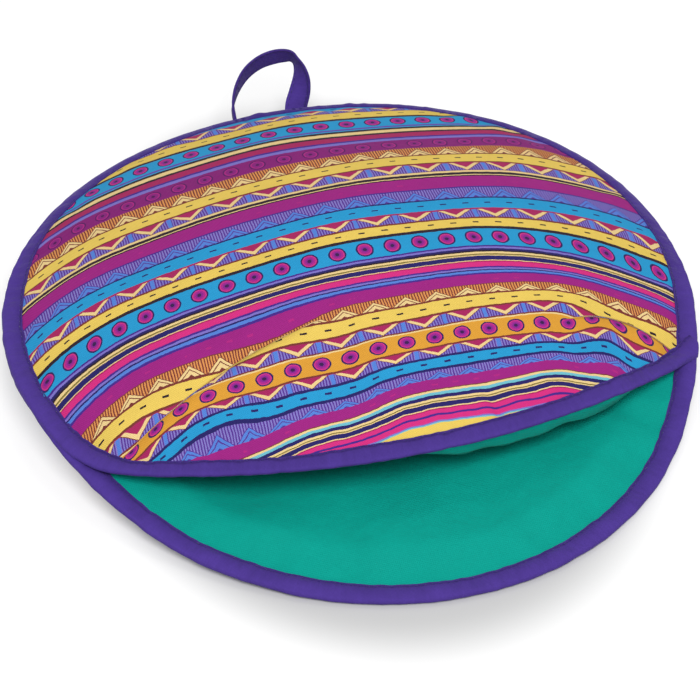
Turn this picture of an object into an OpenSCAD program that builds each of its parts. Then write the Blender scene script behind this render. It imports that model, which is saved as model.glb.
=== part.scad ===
// Padded fabric tortilla warmer: two quilted round panels bound together round
// the back and sides, with an open mouth in front and a hanging loop behind.
// Lengths are millimetres.  +Z is up, the mouth faces -Y, and the origin lies
// on the table under the middle of the round base.
// Angles round the rim start at the middle of the mouth and grow towards +X.

/* [Pouch] */
// Diameter across the bound rim
pouch_d = 305; // [240:1:360]
// Height of the outer cover at the crown
crown_h = 62.5; // [54:0.5:80]
// Distance of the crown behind the centre
crown_back = 5; // [0:1:12]
// Height of the seam between the panels at the sides and back
seam_h = 24.5; // [18:0.5:28]
// Out-of-round stretch of the rim from side to side
oval_depth = 1.5; // [0:0.5:4]
// Out-of-round stretch of the rim along its diagonal
skew_depth = 3; // [0:0.5:5]
// Depth of the three soft bays in the rim
bay_depth = 3; // [0:0.5:5]

/* [Mouth] */
// Height by which the left part of the lower lip curls up
curl_h = 3; // [0:0.5:6]
// Angle from the middle of the mouth to each end of the seam
mouth_half = 67; // [58:1:76]
// Distance that the upper lip reaches in front of the line between the seam ends
lip_reach = 37; // [26:1:44]
// Height of the top of the upper lip at its middle
mouth_h = 31; // [27:1:38]
// Distance of the fold that the lip lifts at in front of the line between the seam ends
fold_ahead = 3; // [2:0.5:5]
// Width of the part of the upper lip that lifts, between the sewn corners
lip_w = 200; // [140:1:210]
// Gap between the lip and the crown round the lip's cut
fold_gap = 0.3; // [0.2:0.1:1]

/* [Cloth layers] */
// Thickness of the printed cover cloth
cover_t = 0.6; // [0.4:0.1:1]
// Thickness of the wadding in the middle of a panel
wadding_t = 6; // [3:0.5:8]
// Thickness of the wadding where the binding squeezes it
wadding_edge_t = 1.2; // [0.8:0.1:2]
// Width over which the wadding swells from its edge to its full thickness
swell_w = 20; // [12:1:30]
// Thickness of the lining cloth
lining_t = 0.5; // [0.3:0.1:0.8]
// Clearance between neighbouring layers
layer_gap = 0.1; // [0.05:0.05:0.2]

/* [Binding] */
// Width of the finished binding tape
binding_w = 11; // [9:0.5:15]
// Thickness of the binding tape
binding_t = 0.7; // [0.5:0.1:1]
// Distance of the stitch row from the inner edge of the binding
stitch_inset = 1.8; // [1.2:0.1:3]
// Clearance under a row of thread
thread_gap = 0.5; // [0.3:0.1:0.8]
// Thickness of the sewing thread
thread_d = 0.6; // [0.4:0.1:0.8]

/* [Hanging loop] */
// Width of the loop tape
loop_w = 11.5; // [8:0.5:14]
// Thickness of the folded loop tape
loop_t = 1.6; // [1:0.1:2]
// Distance of the loop's far end from the rim
loop_reach = 29; // [20:1:40]
// Distance between the two sewn ends of the loop
loop_span = 31; // [26:1:40]
// Angle on the rim that the middle of the loop lies at
loop_at = 182; // [170:1:190]
// Slope at which the loop stands up behind the rim
loop_slope = 45; // [20:1:60]
// Gap between the loop and the binding that it is sewn into
loop_gap = 0.3; // [0.2:0.1:0.6]
// Length of the bar of stitches over each end of the loop
tack_w = 9; // [6:0.5:12]
// Thickness of the bar of stitches
tack_t = 0.8; // [0.5:0.1:1]

/* [Hidden] */

mouth_steps = 18;     // spokes across the mouth
seam_steps = 34;      // spokes round the seam
bay_turn = 27;        // where the rim's bays lie, in degrees
settle_from = 40;     // the base's edge lies on the table up to this angle
settle_to = 85;       // and the seam is at its full height from this one
curl_at = -50;        // the lower lip curls up most at this angle
curl_reach = 34;      // and lies flat again this far from it, in degrees
dome_power = 0.88;    // 1 is a parabola, as over the lip; lower is fuller at the seam
base_flat = 0.66;     // share of the base that lies flat on the table
corner_share = 0.3;   // share of each half of the mouth over which the lip flattens to the seam
bound_end = 0.97;     // the mouth binding stops at this share of the way to the corners
tuck = 2.5;           // how far the mouth bindings stop short of the seam, in degrees

// Rings of a padded panel, as shares of the way out to the binding
dome_rings = [0.22, 0.42, 0.6, 0.75, 0.87, 0.95, 1];
base_rings = [0.4, 0.7, 0.8, 0.9, 1];

// One panel's layers at its bound edge, and the wrap of tape round them
panel_edge_t = cover_t + wadding_edge_t + lining_t + 2 * layer_gap;
wrap_t = layer_gap + binding_t;
lip_h = panel_edge_t + wrap_t + layer_gap / 2;
crown_at = [0, crown_back];
chord_y = -pouch_d / 2 * cos(mouth_half);
fold_y = chord_y - fold_ahead;

function smooth(t) = let (c = max(0, min(1, t))) c * c * (3 - 2 * c);
function mix(a, b, t) = a + (b - a) * t;
function heading(a) = [sin(a), -cos(a)];

// The rim, which is the same for both panels, and the seam's height round it
function rim_radius(a) =
    pouch_d / 2 - oval_depth * cos(2 * a) + skew_depth * sin(2 * a) + bay_depth * cos(3 * a - bay_turn);
function turn_from_mouth(a) = a > 180 ? a - 360 : a;
function rim_rise(a) = smooth((abs(turn_from_mouth(a)) - settle_from) / (settle_to - settle_from));
function curl(a) = curl_h * smooth(1 - abs(turn_from_mouth(a) - curl_at) / curl_reach);
function rim_z(a) = mix(lip_h, seam_h, rim_rise(a)) + curl(a);
function rim_point(a, inset) = (rim_radius(a) - inset) * heading(a);

// A station is where a spoke meets the panel's edge: x, y, height of its outer
// face, and the share of that height that is bound flat
function seam_station(a) =
    let (p = rim_point(a, wrap_t))
    [p.x, p.y, rim_z(a) + layer_gap / 2 + panel_edge_t, 1];
function base_station(a) =
    let (p = rim_point(a, wrap_t))
    [p.x, p.y, rim_z(a) - layer_gap / 2 - panel_edge_t, 1];
function lip_station(s) =
    let (left = seam_station(-mouth_half),
         right = seam_station(mouth_half),
         p = mix(left, right, (1 + s) / 2),
         bow = 1 - s * s)
    [p.x, p.y - lip_reach * bow, mix(p.z, mouth_h, bow), smooth((abs(s) - 1 + corner_share) / corner_share)];
function seam_turn(i) = mix(mouth_half, 360 - mouth_half, i / seam_steps);
bound_lips = [for (i = [0 : mouth_steps - 2]) lip_station(bound_end * (2 * i / (mouth_steps - 2) - 1))];
top_stations = concat(
    [lip_station(-1)], bound_lips, [lip_station(1)],
    [for (i = [1 : seam_steps - 1]) seam_station(seam_turn(i))]);
lip_turn = mouth_half - tuck;
base_lips = [for (i = [0 : mouth_steps - 2]) base_station(lip_turn * (2 * i / (mouth_steps - 2) - 1))];
base_stations = concat(
    [base_station(-mouth_half)], base_lips, [base_station(mouth_half)],
    [for (i = [1 : seam_steps - 1]) base_station(seam_turn(i))]);

// Length of a spoke, and the share of it at which the binding's inner edge lies
function spoke(st, centre) = norm([st.x, st.y] - centre);
function bound_from(st, centre) = 1 - (binding_w - wrap_t) / spoke(st, centre);

// Height of the crown's outer face, and of the base's underside, along a spoke
function dome_z(st, t) =
    let (fill = min(1, t / mix(1, bound_from(st, crown_at), st[3])))
    mix(st.z, crown_h, pow(1 - fill * fill, mix(1, dome_power, st[3])));
function base_z(st, t) = st.z * smooth((t - base_flat) / (bound_from(st, [0, 0]) - base_flat));
// The wadding is full in the middle and squeezed flat under the binding
function wadding_at(st, t, centre) =
    let (inwards = (bound_from(st, centre) - t) * spoke(st, centre))
    mix(wadding_edge_t, wadding_t, smooth(inwards / swell_w));

// Heights of a panel's faces, counted from the outside in
top_outer = function (st, t) dome_z(st, t);
top_under_cover = function (st, t) dome_z(st, t) - cover_t;
top_wadding_up = function (st, t) dome_z(st, t) - cover_t - layer_gap;
top_wadding_low = function (st, t) top_wadding_up(st, t) - wadding_at(st, t, crown_at);
top_lining_up = function (st, t) top_wadding_low(st, t) - layer_gap;
top_inner = function (st, t) top_lining_up(st, t) - lining_t;
base_outer = function (st, t) base_z(st, t);
base_over_cover = function (st, t) base_z(st, t) + cover_t;
base_wadding_low = function (st, t) base_z(st, t) + cover_t + layer_gap;
base_wadding_up = function (st, t) base_wadding_low(st, t) + wadding_at(st, t, [0, 0]);
base_lining_low = function (st, t) base_wadding_up(st, t) + layer_gap;
base_inner = function (st, t) base_lining_low(st, t) + lining_t;

// One cloth layer: a closed solid between two heights over the same spokes
module layer(stations, centre, rings, upper, lower) {
    n = len(stations);
    m = len(rings) + 1;
    share = function (st, k) k == m - 1 ? 1 : rings[k] * bound_from(st, centre);
    side = function (height) concat(
        [[centre.x, centre.y, height(stations[0], 0)]],
        [for (k = [0 : m - 1], st = stations)
            let (t = share(st, k), p = mix(centre, [st.x, st.y], t))
            [p.x, p.y, height(st, t)]]);
    low = 1 + n * m;
    caps = [for (i = [0 : n - 1]) let (j = (i + 1) % n)
        each [[0, 1 + j, 1 + i], [low, low + 1 + i, low + 1 + j]]];
    skins = [for (k = [0 : m - 2], i = [0 : n - 1])
        let (a = 1 + k * n + i, b = 1 + k * n + (i + 1) % n, c = a + n, d = b + n)
        each [[a, b, c], [b, d, c], [low + a, low + c, low + b], [low + b, low + c, low + d]]];
    wall = [for (i = [0 : n - 1])
        let (a = 1 + (m - 1) * n + i, b = 1 + (m - 1) * n + (i + 1) % n)
        each [[a, b, low + a], [b, low + b, low + a]]];
    polyhedron(concat(side(upper), side(lower)), concat(caps, skins, wall));
}

// A strip whose sections all have the same number of corners; each section's
// second half runs back along its first, so that its ends close with narrow faces
module strip(sections) {
    n = len(sections[0]);
    last = len(sections) - 1;
    sides = [for (k = [0 : last - 1], i = [0 : n - 1])
        let (a = k * n + i, b = k * n + (i + 1) % n, c = a + n, d = b + n)
        each i % (n / 2) < n / 4 ? [[a, c, b], [b, c, d]] : [[a, c, d], [a, d, b]]];
    ends = [for (i = [0 : n / 2 - 2]) let (j = n - 1 - i, k = last * n)
        each [[i, i + 1, j], [i + 1, j - 1, j], [k + i, k + j, k + i + 1], [k + i + 1, k + j, k + j - 1]]];
    polyhedron([for (s = sections) each s], concat(sides, ends));
}

// Folded tape over an edge: along its outside from one inner edge to the other, then back inside
function tape_section(st, centre, upper, lower) =
    let (length = spoke(st, centre),
         inner = bound_from(st, centre),
         mid = (upper(st, 1) + lower(st, 1)) / 2,
         at = function (t, beyond, z)
             let (p = mix(centre, [st.x, st.y], t + beyond / length)) [p.x, p.y, z],
         up = function (t, beyond, rise) at(t, beyond, upper(st, t) + rise),
         low = function (t, beyond, drop) at(t, beyond, lower(st, t) - drop))
    [up(inner, 0, wrap_t), up(1, 0, wrap_t), up(1, wrap_t * 0.8, layer_gap), at(1, wrap_t, mid),
     low(1, wrap_t * 0.8, layer_gap), low(1, 0, wrap_t), low(inner, 0, wrap_t),
     low(inner, 0, layer_gap), low(1, 0, layer_gap), low(1, layer_gap, 0), at(1, layer_gap, mid),
     up(1, layer_gap, 0), up(1, 0, layer_gap), up(inner, 0, layer_gap)];

// A row of thread on the binding, above the given face when side is 1 and below it when -1
function thread_section(st, centre, face, side) =
    let (inner = bound_from(st, centre),
         share = stitch_inset / (binding_w - wrap_t),
         on_tape = mix(face(st, inner), face(st, 1), share),
         at = function (out, rise)
             let (p = mix(centre, [st.x, st.y], mix(inner, 1, share) + side * out / spoke(st, centre)))
             [p.x, p.y, on_tape + side * (wrap_t + thread_gap + rise)])
    [at(-thread_d / 2, 0), at(-thread_d / 4, thread_d), at(thread_d / 4, thread_d), at(thread_d / 2, 0)];

// The space of the lip: in front of the fold and between its two sides
module lip_space(gap) {
    width = lip_w - 2 * gap;
    translate([-width / 2, fold_y - gap - pouch_d, -pouch_d]) cube([width, pouch_d, 2 * pouch_d]);
}
module crown_part() {
    difference() {
        children();
        lip_space(0);
    }
}
module lip_part() {
    intersection() {
        children();
        lip_space(fold_gap);
    }
}

module top_layer(upper, lower) layer(top_stations, crown_at, dome_rings, upper, lower);
module base_layer(upper, lower) layer(base_stations, [0, 0], base_rings, upper, lower);

module top_cover() color("mediumvioletred") crown_part() top_layer(top_outer, top_under_cover);
module top_wadding() color("white") crown_part() top_layer(top_wadding_up, top_wadding_low);
module top_lining() color("lightseagreen") crown_part() top_layer(top_lining_up, top_inner);
module lip_cover() color("mediumvioletred") lip_part() top_layer(top_outer, top_under_cover);
module lip_wadding() color("white") lip_part() top_layer(top_wadding_up, top_wadding_low);
module lip_lining() color("lightseagreen") lip_part() top_layer(top_lining_up, top_inner);
module base_cover() color("mediumvioletred") base_layer(base_over_cover, base_outer);
module base_wadding() color("white") base_layer(base_wadding_up, base_wadding_low);
module base_lining() color("lightseagreen") base_layer(base_inner, base_lining_low);

// The tape on the upper lip is cut at the lip's two sides
module mouth_tape() strip([for (st = bound_lips) tape_section(st, crown_at, top_outer, top_inner)]);
module mouth_binding_ends() color("indigo") crown_part() mouth_tape();
module lip_binding() color("indigo") lip_part() mouth_tape();
module lip_stitching() color("slateblue") lip_part()
    strip([for (st = bound_lips) thread_section(st, crown_at, top_outer, 1)]);

// The base's front edge has tape of its own between the ends of the seam
module base_lip_binding() color("indigo")
    strip([for (st = base_lips) tape_section(st, [0, 0], base_inner, base_outer)]);
module base_lip_stitching() color("slateblue")
    strip([for (st = base_lips) thread_section(st, [0, 0], base_inner, 1)]);

// One tape wraps both panels round the sides and back
seam_bases = [for (i = [0 : seam_steps]) base_station(seam_turn(i))];
both_t = 2 * panel_edge_t + layer_gap;
seam_top = function (st, t) st.z + both_t;
seam_low = function (st, t) st.z;
module rim_binding() color("indigo")
    strip([for (st = seam_bases) tape_section(st, [0, 0], seam_top, seam_low)]);
module rim_stitching() color("slateblue") {
    strip([for (st = seam_bases) thread_section(st, [0, 0], seam_top, 1)]);
    strip([for (st = seam_bases) thread_section(st, [0, 0], seam_low, -1)]);
}

// The loop's tape: its centre line in its own plane, its width and its turn about that line
loop_steps = 22;
loop_turns = 90;      // from flat in the seam at one end to edge-on at the other
pinch = 0.16;         // share of the tape's width that is left at its folded end
function loop_line(u) = [loop_span / 2 * cos(180 * u), (loop_reach - loop_w / 2) * pow(sin(180 * u), 0.7)];
function loop_width(u) = loop_w * mix(1, pinch, smooth((u - 0.75) / 0.25));
function loop_section(u) =
    let (at = loop_line(u),
         step = loop_line(min(1, u + 0.01)) - loop_line(max(0, u - 0.01)),
         along = u == 0 ? [0, 1] : u == 1 ? [0, -1] : step / norm(step),
         flat = [along.y, -along.x, 0],
         turn = loop_turns * smooth(u / 0.6),
         across = flat * cos(turn) + [0, 0, sin(turn)],
         face = [-flat.x * sin(turn), -flat.y * sin(turn), cos(turn)],
         w = across * loop_width(u) / 2,
         t = face * loop_t / 2)
    [for (corner = [w - t, -w - t, t - w, w + t]) [at.x, at.y, 0] + corner];
loop_root = rim_radius(loop_at) + loop_gap + loop_t / 2;
module hanging_loop() color("indigo")
    rotate(loop_at - 180) translate([0, loop_root, rim_z(loop_at)]) rotate([loop_slope, 0, 0])
        strip([for (i = [0 : loop_steps]) loop_section(i / loop_steps)]);

// A bar of stitches over each end of the loop, on the binding
module loop_tacks() color("slateblue")
    rotate(loop_at - 180)
        for (side = [-1, 1])
            translate([side * loop_span / 2 - tack_w / 2,
                       rim_radius(loop_at) - binding_w / 2,
                       rim_z(loop_at) + both_t / 2 + wrap_t + layer_gap])
                cube([tack_w, 2 * tack_t, tack_t]);

top_cover();
top_wadding();
top_lining();
mouth_binding_ends();
lip_cover();
lip_wadding();
lip_lining();
lip_binding();
lip_stitching();
base_cover();
base_wadding();
base_lining();
base_lip_binding();
base_lip_stitching();
rim_binding();
rim_stitching();
hanging_loop();
loop_tacks();
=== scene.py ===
"""A padded fabric tortilla warmer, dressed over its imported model.

Two padded round panels are bound together round the back and sides. The upper
panel ends in a lip over the mouth, in front, and a tape loop stands up behind.

Points are worked out in millimetres, in the model's own frame, and turned into
metres where a mesh is made. Angles round the rim are in degrees: 0 is the
middle of the mouth, and they grow towards +X.
"""
import math

import bpy
import numpy as np
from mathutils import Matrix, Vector


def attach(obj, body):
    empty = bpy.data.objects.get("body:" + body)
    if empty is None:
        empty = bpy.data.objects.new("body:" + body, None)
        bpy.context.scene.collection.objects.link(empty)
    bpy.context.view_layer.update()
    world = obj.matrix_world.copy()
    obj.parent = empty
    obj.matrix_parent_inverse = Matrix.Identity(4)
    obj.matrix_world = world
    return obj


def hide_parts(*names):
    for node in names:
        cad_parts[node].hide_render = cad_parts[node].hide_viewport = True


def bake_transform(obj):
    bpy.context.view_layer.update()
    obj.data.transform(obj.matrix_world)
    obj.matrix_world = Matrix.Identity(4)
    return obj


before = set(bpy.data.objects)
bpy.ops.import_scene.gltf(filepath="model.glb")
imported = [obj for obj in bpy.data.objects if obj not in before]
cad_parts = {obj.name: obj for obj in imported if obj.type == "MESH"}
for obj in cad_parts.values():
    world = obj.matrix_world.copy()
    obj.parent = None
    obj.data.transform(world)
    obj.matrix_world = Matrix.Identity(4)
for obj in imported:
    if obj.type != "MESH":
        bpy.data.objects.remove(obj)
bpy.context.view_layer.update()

MM = 0.001

# ---------------------------------------------------------------- sizes, in mm

POUCH_D = 305.0          # diameter across the bound rim
OVAL_DEPTH = 1.5         # out-of-round stretch from side to side
SKEW_DEPTH = 3.0         # out-of-round stretch along a diagonal
BAY_DEPTH = 3.0          # depth of the three soft bays in the rim
BAY_TURN = 27.0          # where those bays lie, in degrees
CROWN_H = 62.5           # height of the cover at the crown
CROWN = np.array([0.0, 5.0])
SEAM_H = 24.5            # height of the seam at the sides and back
CURL_H = 3.0             # the lower lip curls up by this much ...
CURL_AT = -50.0          # ... at this angle
CURL_REACH = 34.0
SETTLE_FROM = 40.0       # the base's edge lies on the table up to this angle ...
SETTLE_TO = 85.0         # ... and is at seam height from this one

MOUTH_HALF = 67.0        # angle from the middle of the mouth to each corner
LIP_REACH = 37.0         # how far the upper lip bows out in front of its corners
MOUTH_H = 31.0           # height of the upper lip at its middle
CORNER_SHARE = 0.3       # share of each half of the lip that flattens to its corner

COVER_T = 0.6
WADDING_T = 6.0
WADDING_EDGE_T = 0.35    # pressed flat under the tape
SWELL_W = 20.0           # width over which the wadding swells from its bound edge
LINING_T = 0.5
LAYER_GAP = 0.1
BINDING_W = 9.5
BINDING_T = 0.7
WRAP_T = LAYER_GAP + BINDING_T
PANEL_EDGE_T = COVER_T + WADDING_EDGE_T + LINING_T + 2 * LAYER_GAP
LIP_H = PANEL_EDGE_T + WRAP_T + LAYER_GAP / 2 + 0.25
BASE_FLAT = 0.66         # share of the base that lies flat on the table
ORIGIN = np.zeros(2)

# The back of the dome runs straight down into the binding, the sides stand fuller
DROOP_LEFT = (95.0, 130.0)
DROOP_RIGHT = (66.0, 98.0)
BACK_SAG = 2.6           # the binding hangs by this much there ...
BACK_SWELL = 1.5         # ... and the cover swells by this much behind it
BACK_SWELL_W = 14.0
BACK_RAMP = (-70.0, -30.0)         # y from which to which that swell grows
SIDE_POWER = 0.88
DROOP_LIFT = 5.0         # rise of the base behind its drooping back edge
UP = np.array([0.0, 0.0, 1.0])


# ------------------------------------------------------------------ arithmetic

def smooth(t):
    t = np.clip(t, 0.0, 1.0)
    return t * t * (3.0 - 2.0 * t)


def ramp(value, start, end):
    """0 up to the start, 1 from the end on and smooth between; the end may be the lower one."""
    return smooth((value - start) / (end - start))


def bell(*offsets):
    """1 in the middle, falling off with the offsets, which are in half widths."""
    return np.exp(-sum(offset ** 2 for offset in offsets))


def mix(a, b, t):
    return a + (b - a) * t


def unit(vector):
    return vector / np.linalg.norm(vector)


def turn_of(xy, centre):
    """The angle round the rim at which points lie, as seen from a centre."""
    return np.degrees(np.arctan2(xy[..., 0] - centre[0], centre[1] - xy[..., 1]))


# ------------------------------------------------------- rim, lips and stations

def signed(angle):
    """An angle round the rim, brought to -180..180 with 0 in the middle of the mouth."""
    return (np.asarray(angle, float) + 180.0) % 360.0 - 180.0


def rim_radius(angle):
    a = np.radians(angle)
    return (POUCH_D / 2 - OVAL_DEPTH * np.cos(2 * a) + SKEW_DEPTH * np.sin(2 * a)
            + BAY_DEPTH * np.cos(3 * a - np.radians(BAY_TURN)))


def rim_z(angle):
    turn = signed(angle)
    rise = ramp(np.abs(turn), SETTLE_FROM, SETTLE_TO)
    curl = CURL_H * ramp(np.abs(turn - CURL_AT), CURL_REACH, 0)
    return mix(LIP_H, SEAM_H, rise) + curl - BACK_SAG * droop(angle)


def rim_point(angle, inset):
    a = np.radians(angle)
    return (rim_radius(angle) - inset)[..., None] * np.stack([np.sin(a), -np.cos(a)], -1)


def droop(angle):
    """0 where the binding lies level, 1 where it hangs down with the slope of the dome."""
    turn = signed(angle)
    return ramp(-turn, *DROOP_LEFT) + ramp(turn, *DROOP_RIGHT)


def station(xy, z, hold):
    """Where a spoke meets its panel's edge: x, y, height, and how flat it is bound there."""
    xy = np.asarray(xy, float)
    full = np.ones(xy.shape[:-1])
    return np.concatenate([xy, (z * full)[..., None], (hold * full)[..., None]], -1)


def seam_station(angle):
    z = rim_z(angle) + LAYER_GAP / 2 + PANEL_EDGE_T
    return station(rim_point(angle, WRAP_T), z, 1 - droop(angle))


def base_station(angle):
    z = rim_z(angle) - LAYER_GAP / 2 - PANEL_EDGE_T
    return station(rim_point(angle, WRAP_T), z, droop(angle))


def lip_station(s):
    """A station on the upper lip, from its left corner at -1 to its right one at 1."""
    s = np.asarray(s, float)
    left, right = seam_station(np.array([-MOUTH_HALF, MOUTH_HALF]))
    chord = mix(left[:3], right[:3], (1 + s)[..., None] / 2)
    bow = 1 - s * s
    xy = np.stack([chord[..., 0], chord[..., 1] - LIP_REACH * bow], -1)
    hold = ramp(np.abs(s), 1 - CORNER_SHARE, 1)
    return station(xy, mix(chord[..., 2], MOUTH_H, bow), hold)


def spoke(st, centre):
    """How far a station or a point lies from a centre."""
    return np.hypot(st[..., 0] - centre[0], st[..., 1] - centre[1])


def bound_from(st, centre):
    """The share of a spoke at which the binding's inner edge lies."""
    return 1 - (BINDING_W - WRAP_T) / spoke(st, centre)


def from_binding(st, t, centre):
    """Distance inwards from the binding's inner edge, along a spoke."""
    return (bound_from(st, centre) - t) * spoke(st, centre)


# ------------------------------------------------------------- heights of faces

def at_back(st):
    """0 over the mouth and 1 from the sides on backwards."""
    return ramp(st[..., 1], *BACK_RAMP)


def dome_z(st, t):
    """Height of the printed cover along a spoke of the top panel."""
    hold = st[..., 3]
    fill = np.minimum(1.0, t / mix(1.0, bound_from(st, CROWN), hold))
    inwards = (1 - t) * spoke(st, CROWN) / BACK_SWELL_W
    swell = BACK_SWELL * (1 - hold) * at_back(st) * inwards * np.exp(1 - inwards)
    return mix(st[..., 2], CROWN_H, (1 - fill * fill) ** mix(1.0, SIDE_POWER, hold)) + swell


def base_z(st, t):
    """Height of the underside along a spoke of the base panel."""
    rise = ramp(t, BASE_FLAT, bound_from(st, ORIGIN))
    inwards = (1 - t) * spoke(st, ORIGIN)
    hump = inwards * np.exp(-inwards / (BINDING_W - WRAP_T)) / (BINDING_W - WRAP_T) * np.e
    return st[..., 2] * rise + DROOP_LIFT * st[..., 3] * hump * rise


def wadding_at(st, t, centre):
    return mix(WADDING_EDGE_T, WADDING_T, ramp(from_binding(st, t, centre), 0, SWELL_W))


def panel_t(st, t, centre):
    """A panel's whole thickness along a spoke."""
    return COVER_T + wadding_at(st, t, centre) + LINING_T + 2 * LAYER_GAP


# --------------------------------------------- small unevenness of sewn cloth

WAVES = 7                # sines that are added up
WOBBLES = 6


def waves(x, y, length, seed):
    """Smooth, repeatable unevenness of about -1..1, with ripples of the given length."""
    rng = np.random.default_rng(seed)
    total = np.zeros(np.broadcast(x, y).shape)
    for _ in range(WAVES):
        turn = rng.uniform(0, 2 * np.pi)
        pitch = length * rng.uniform(0.7, 1.5)
        phase = rng.uniform(0, 2 * np.pi)
        along = x * np.cos(turn) + y * np.sin(turn)
        total = total + np.sin(2 * np.pi * along / pitch + phase)
    return total / math.sqrt(WAVES)


def wobble(turn, cycles, seed):
    """The same along a closed edge: turn is its angle in degrees, cycles its ripples a turn."""
    rng = np.random.default_rng(seed)
    total = np.zeros(np.shape(turn))
    for _ in range(WOBBLES):
        number = round(cycles * rng.uniform(0.7, 1.4))
        total = total + np.sin(np.radians(turn) * number + rng.uniform(0, 2 * np.pi))
    return total / math.sqrt(WOBBLES)


# ------------------------------------------------------- the cover's two darts

DENT_FRONT_W, DENT_BACK_W = 2.2, 5.0
# Swells of the cloth beside a dart: how high, how far in front of it, and their half widths
SWELLS = ((0.5, -9.0, 6.0), (0.35, 7.0, 5.0))


class Dart:
    """A fold that takes up cloth: a valley from the mouth's corner that runs out on the dome."""

    def __init__(self, side, tip_x, fade_w, take, curve, valley, ease=(0.0, 0.0, 1.0)):
        self.side = side            # -1 on the left, 1 on the right
        self.tip_x = tip_x          # where it runs out
        self.fade_w = fade_w        # over this distance
        self.take = take            # how much cloth it hides
        self.curve = curve          # y along it, as a polynomial in x
        self.valley = valley        # its depth
        self.ease = ease            # share it gives back, from how far out, over which width

    def strength(self, x):
        return ramp(self.side * (x - self.tip_x), 0, self.fade_w)

    def hides(self, x):
        """How much cloth it hides at x."""
        share, start, width = self.ease
        return self.take * self.strength(x) * (1 - share * ramp(self.side * x, start, start + width))

    def in_front(self, x, y):
        """Distance in front of the fold, towards the mouth."""
        return np.polyval(self.curve, x) - y

    def dent(self, x, y):
        """How far the cover lies below its smooth form: steep in front of the fold, soft behind."""
        ahead = self.in_front(x, y)
        dip = bell(ahead / np.where(ahead > 0, DENT_FRONT_W, DENT_BACK_W))
        swell = sum(high * bell((ahead - at) / half) for high, at, half in SWELLS)
        return self.valley * self.strength(x) * (dip - swell)


DARTS = [
    Dart(-1, -12.0, 35.0, 7.8, (-0.00149, 0.0705, -29.5), 1.5, (0.55, 86.0, 28.0)),
    Dart(1, 78.0, 25.0, 11.6, (-0.01141, 2.262, -156.0), 1.5),
]
DEEPEST_TAKE = max(dart.take for dart in DARTS)


# ----------------------------------------------------- where the print lies

# Drift of the stripes from straight lines across, in rim radii: powers of x down
# the rows and powers of y along them
DRIFT_ACROSS = ((-0.014, -0.012, 0.098, -0.058), (0.017, 0.029, -0.099),
                (-0.013, 0.152, -0.262), (0.023, 0.076, -0.044))
# ... of what the left and right sides slip by, from this far out
DRIFT_LEFT = ((0.35, (0.132, 0.056, -0.626)), (0.65, (-0.69, 0.161)))
DRIFT_RIGHT = ((0.30, (-0.262, 0.224, 0.375)), (0.55, (-0.058, -0.763)))
# ... and, in mm, of what the cloth in front is pulled by: from y on, over a width,
# around places at even steps from left to right
PULLS = (
    (-15.0, 30.0, (-2.1, -2.0, -2.9, -4.6, -6.1, 0.5, -2.8, 0.7, 0.7, 7.4, -0.5, 6.8)),
    (-50.0, 30.0, (0.3, 1.7, -6.3, -4.8, -3.0, -3.8, 0.8, -2.2, 0.8, 4.7, -8.1, 7.9)),
)
PULL_FIRST, PULL_STEP = -132.0, 24.0
# One more place where the print is drawn back: its middle, its half widths and by how much
DRAWN_BACK = (-75.0, -64.0, 17.0, 9.0, 3.9)
UNIT = 150.0
ASIDE = 0.6              # the print lies by this much to the right
BULGE = 2.0e-6           # the dome stretches the print sideways by this much of x cubed


def power_series(values, t):
    return sum(value * t ** i for i, value in enumerate(values))


def print_across(x):
    return x - ASIDE + BULGE * x ** 3


def print_along(x, y):
    """Distance along the print, growing from the back to the mouth, without the darts."""
    a, b = x / UNIT, y / UNIT
    drift = sum(a ** i * power_series(row, b) for i, row in enumerate(DRIFT_ACROSS))
    for start, row in DRIFT_LEFT:
        drift = drift + np.maximum(0, -a - start) ** 2 * power_series(row, b)
    for start, row in DRIFT_RIGHT:
        drift = drift + np.maximum(0, a - start) ** 2 * power_series(row, b)
    pulled = 0.0
    for start, width, row in PULLS:
        near = sum(pull * bell((x - PULL_FIRST) / PULL_STEP - i) for i, pull in enumerate(row))
        pulled = pulled + ramp(y, start, start - width) * near
    mid_x, mid_y, half_x, half_y, amount = DRAWN_BACK
    pulled = pulled + amount * bell((x - mid_x) / half_x, (y - mid_y) / half_y)
    return UNIT * drift + pulled - y


# -------------------------------------------------------------- making meshes

def in_scene(name, data):
    made = bpy.data.objects.new(name, data)
    bpy.context.scene.collection.objects.link(made)
    return made


def add_piece(name, points, faces, material, layers=None):
    """A smooth-shaded mesh from points in millimetres; layers are UV maps, two numbers a point."""
    mesh = bpy.data.meshes.new(name)
    mesh.from_pydata((np.asarray(points) * MM).tolist(), [], faces)
    mesh.validate()
    mesh.polygons.foreach_set("use_smooth", [True] * len(mesh.polygons))
    corners = np.zeros(len(mesh.loops), dtype=np.int32)
    mesh.loops.foreach_get("vertex_index", corners)
    for layer_name, values in (layers or {}).items():
        layer = mesh.uv_layers.new(name=layer_name)
        layer.data.foreach_set("uv", np.asarray(values, np.float32)[corners].ravel())
    mesh.materials.append(material)
    mesh.update()
    return in_scene(name, mesh)


def thicken(piece, thickness):
    shell = piece.modifiers.new("Thickness", "SOLIDIFY")
    shell.thickness = thickness * MM
    shell.offset = -1.0
    shell.use_even_offset = False


def net(rows, columns):
    """Faces between rows of points, with the last column joined to the first."""
    faces = []
    for low in range(0, (rows - 1) * columns, columns):
        high = low + columns
        for i in range(columns):
            j = (i + 1) % columns
            faces.append((low + i, high + i, high + j, low + j))
    return faces


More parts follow.
